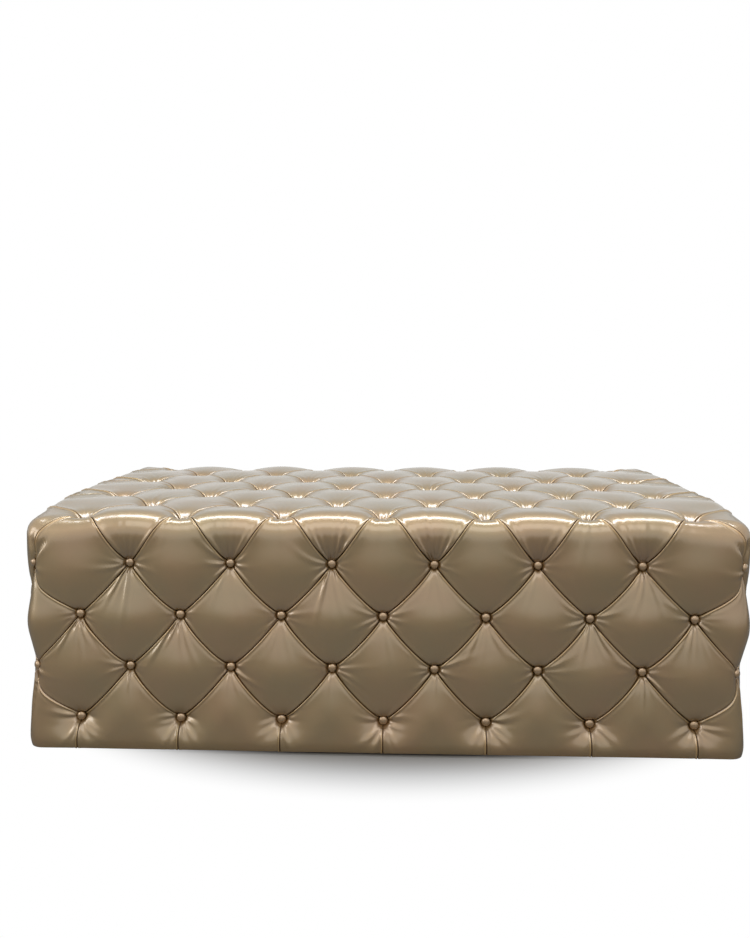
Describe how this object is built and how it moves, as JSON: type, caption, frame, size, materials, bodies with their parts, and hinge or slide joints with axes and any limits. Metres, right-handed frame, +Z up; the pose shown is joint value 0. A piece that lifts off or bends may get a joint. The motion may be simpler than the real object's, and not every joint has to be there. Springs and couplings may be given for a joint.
{
  "type": "ottoman coffee table",
  "caption": "Low rectangular ottoman coffee table with a diamond tufted leather cover, covered buttons and foam pads on a wood frame with hidden glides",
  "frame": {"origin": "middle of the footprint, on the floor under the glides", "axes": "+X along the length to the right seen from the front, +Y to the back, +Z up"},
  "size_m": [1.3818, 0.6896, 0.4578],
  "materials": {
    "cover_leather": "metallic bronze-gold leather, fine grain, soft satin sheen, deep folded pleats between buttons",
    "button_leather": "the same metallic leather stretched over domed buttons",
    "foam": "open-cell upholstery foam, cream",
    "twine": "waxed nylon tufting twine",
    "toggle_plastic": "moulded plastic discs",
    "plywood": "sanded birch plywood, unfinished",
    "hardwood": "planed hardwood, unfinished",
    "fastener_steel": "zinc plated steel",
    "dust_cloth": "black non-woven dust cover",
    "glide_nylon": "dark moulded nylon"
  },
  "bodies": {
    "root": {"base_bearers": "hardwood", "base_rail_back": "hardwood", "base_rail_front": "hardwood", "base_rail_left": "hardwood", "base_rail_right": "hardwood", "buttons_back": "button_leather", "buttons_corner": "button_leather", "buttons_front": "button_leather", "buttons_left": "button_leather", "buttons_right": "button_leather", "buttons_top": "button_leather", "cover_back": "cover_leather", "cover_front": "cover_leather", "cover_left": "cover_leather", "cover_right": "cover_leather", "cover_top": "cover_leather", "deck": "plywood", "deck_screws": "fastener_steel", "dust_cover": "dust_cloth", "foam_back": "foam", "foam_front": "foam", "foam_left": "foam", "foam_right": "foam", "foam_top": "foam", "frame_screws": "fastener_steel", "glide_nails": "fastener_steel", "glides": "glide_nylon", "hem_staples": "fastener_steel", "panel_back": "plywood", "panel_front": "plywood", "panel_left": "plywood", "panel_right": "plywood", "post_back_left": "hardwood", "post_back_right": "hardwood", "post_front_left": "hardwood", "post_front_right": "hardwood", "studs_back": "hardwood", "studs_front": "hardwood", "studs_left": "hardwood", "studs_right": "hardwood", "toggles_back": "toggle_plastic", "toggles_corner": "toggle_plastic", "toggles_front": "toggle_plastic", "toggles_left": "toggle_plastic", "toggles_right": "toggle_plastic", "toggles_top": "toggle_plastic", "top_bearers": "hardwood", "top_rail_back": "hardwood", "top_rail_front": "hardwood", "top_rail_left": "hardwood", "top_rail_right": "hardwood", "twines_back": "twine", "twines_corner": "twine", "twines_front": "twine", "twines_left": "twine", "twines_right": "twine", "twines_top": "twine"}
  },
  "joints": []
}
